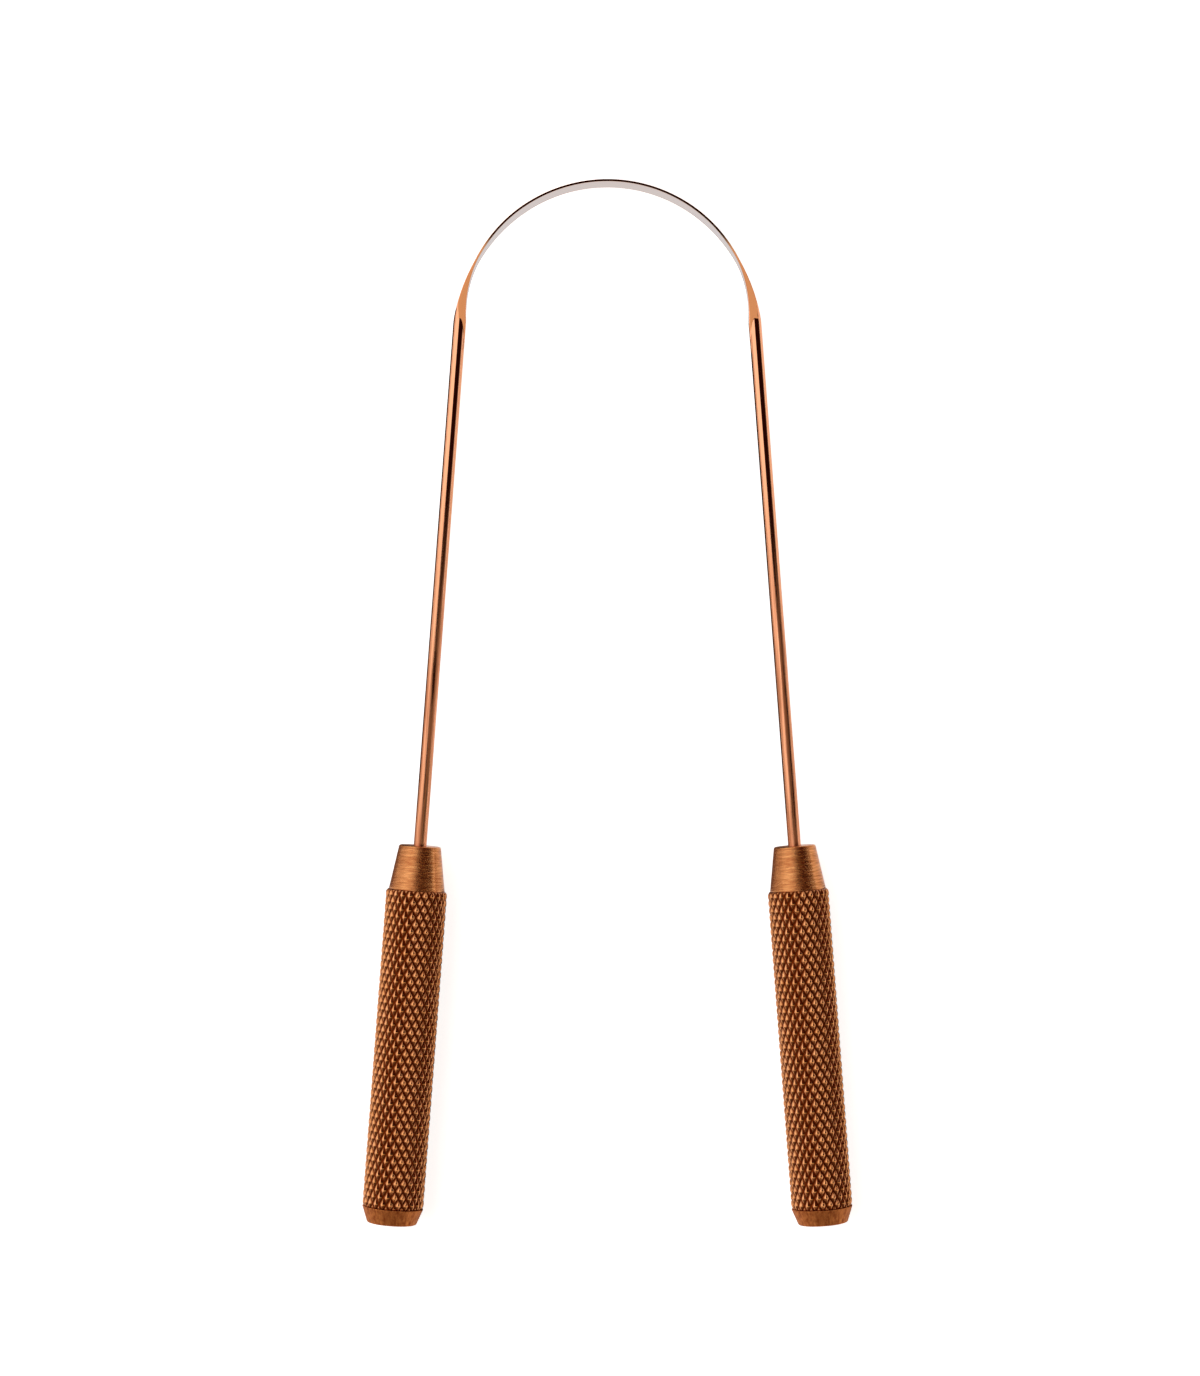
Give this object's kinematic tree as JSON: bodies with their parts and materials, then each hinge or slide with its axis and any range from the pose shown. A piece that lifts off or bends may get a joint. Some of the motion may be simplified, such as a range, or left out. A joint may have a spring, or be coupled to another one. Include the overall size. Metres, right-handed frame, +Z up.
{
  "type": "tongue scraper",
  "caption": "U-shaped copper tongue scraper: a thin forged blade arc on slim rod arms, with conical ferrules, diamond-knurled grips and chamfered end plugs.",
  "frame": {"origin": "on the surface that it lies on, under the middle of its length and width", "axes": "+Z up, square to the flat of the U; +Y towards the blade; +X to the right arm"},
  "size_m": [0.0648, 0.1378, 0.0081],
  "materials": {
    "polished_copper_rod": "polished copper",
    "turned_copper_ferrule": "turned copper with fine tool lines",
    "knurled_copper_grip": "knurled copper, satin",
    "turned_copper_plug": "turned copper, matte"
  },
  "bodies": {
    "root": {"scraper_bow": "polished_copper_rod", "left_ferrule": "turned_copper_ferrule", "right_ferrule": "turned_copper_ferrule", "left_grip": "knurled_copper_grip", "right_grip": "knurled_copper_grip", "left_end_plug": "turned_copper_plug", "right_end_plug": "turned_copper_plug"}
  },
  "joints": []
}
